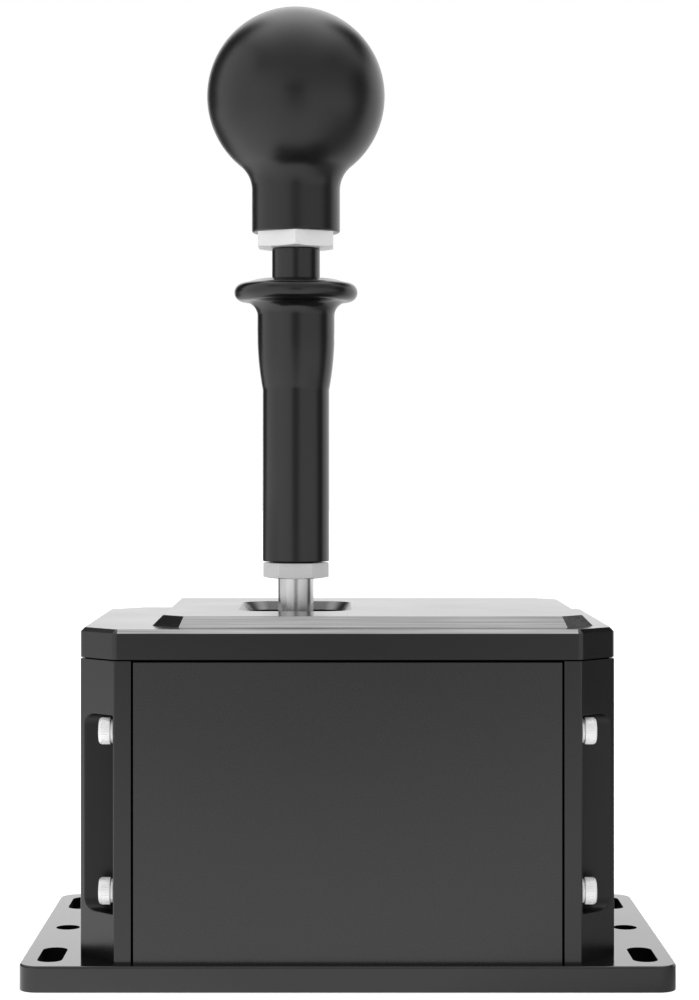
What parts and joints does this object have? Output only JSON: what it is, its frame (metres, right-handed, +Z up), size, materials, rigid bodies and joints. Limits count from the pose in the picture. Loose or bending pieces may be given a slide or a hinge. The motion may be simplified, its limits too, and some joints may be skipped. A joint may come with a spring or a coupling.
{
  "type": "sim racing gear shifter",
  "caption": "Gear shifter for a driving simulator: boxed metal housing on a slotted base plate, with an upright lever, pull-up reverse collar and ball knob.",
  "frame": {"origin": "centre of the base plate's underside", "axes": "+Z up along the lever, +X to the driver's right, +Y away from the driver"},
  "size_m": [0.17, 0.102, 0.2644],
  "materials": {
    "housing_black": "black anodised, fine satin blast",
    "base_black": "black anodised, satin",
    "knob_black": "black anodised, smooth satin",
    "inner_grey": "milled, clear anodised",
    "bright_steel": "polished, zinc plated",
    "dark_steel": "blackened",
    "spring_steel": "drawn wire",
    "bush_bronze": "sintered",
    "board_green": "solder mask",
    "moulded_black": "moulded"
  },
  "bodies": {
    "housing": {"base_plate": "base_black", "left_side_plate": "housing_black", "right_side_plate": "housing_black", "front_panel": "housing_black", "rear_panel": "housing_black", "top_plate": "housing_black", "corner_screws": "bright_steel", "corner_washers": "bright_steel", "tie_bolts": "dark_steel", "front_bush": "bush_bronze", "rear_bush": "bush_bronze", "gate_plate": "dark_steel", "gate_standoffs": "inner_grey", "gate_screws": "bright_steel", "gate_magnets": "bright_steel", "reverse_stop": "dark_steel", "stop_screws": "bright_steel", "spring_seats": "inner_grey", "left_centring_spring": "spring_steel", "right_centring_spring": "spring_steel", "board_bracket": "dark_steel", "bracket_screws": "bright_steel", "sensor_board": "board_green", "sensor_chip": "moulded_black", "board_screws": "bright_steel", "control_board": "board_green", "board_standoffs": "bright_steel", "control_board_screws": "bright_steel", "board_chips": "moulded_black", "usb_socket": "moulded_black"},
    "yoke": {"select_yoke": "inner_grey", "yoke_pin_front": "bright_steel", "yoke_pin_rear": "bright_steel", "shift_pins": "bright_steel", "spring_pins": "bright_steel", "thrust_washers": "bush_bronze"},
    "lever": {"lever_hub": "inner_grey", "pivot_bushes": "bush_bronze", "hub_screws": "dark_steel", "lever_shaft": "bright_steel", "gate_finger": "bright_steel", "magnet_holder": "moulded_black", "sensor_magnet": "bright_steel", "lower_lock_nut": "bright_steel", "lever_tube": "knob_black", "upper_lock_nut": "bright_steel", "shift_knob": "knob_black", "spring_stop_ring": "dark_steel", "collar_spring": "spring_steel"},
    "collar": {"pull_collar": "knob_black", "collar_bush": "bush_bronze", "lockout_rod": "bright_steel", "lockout_cross_pin": "bright_steel"}
  },
  "joints": [
    {"name": "select_tilt", "type": "hinge", "parent": "housing", "child": "yoke", "pos_m": [-0.0142, 0.0072, 0.06], "axis": [0, 1, 0], "range_deg": [-10, 10], "stiffness_Nm_per_rad": 8, "deforming": ["left_centring_spring", "right_centring_spring"]},
    {"name": "shift_swing", "type": "hinge", "parent": "yoke", "child": "lever", "pos_m": [-0.0142, 0.0072, 0.06], "axis": [1, 0, 0], "range_deg": [-14, 14]},
    {"name": "collar_lift", "type": "slide", "parent": "lever", "child": "collar", "axis": [0, 0, 1], "range_m": [0, 0.008], "stiffness_N_per_m": 400, "springref_m": -0.008, "deforming": ["collar_spring"]}
  ]
}
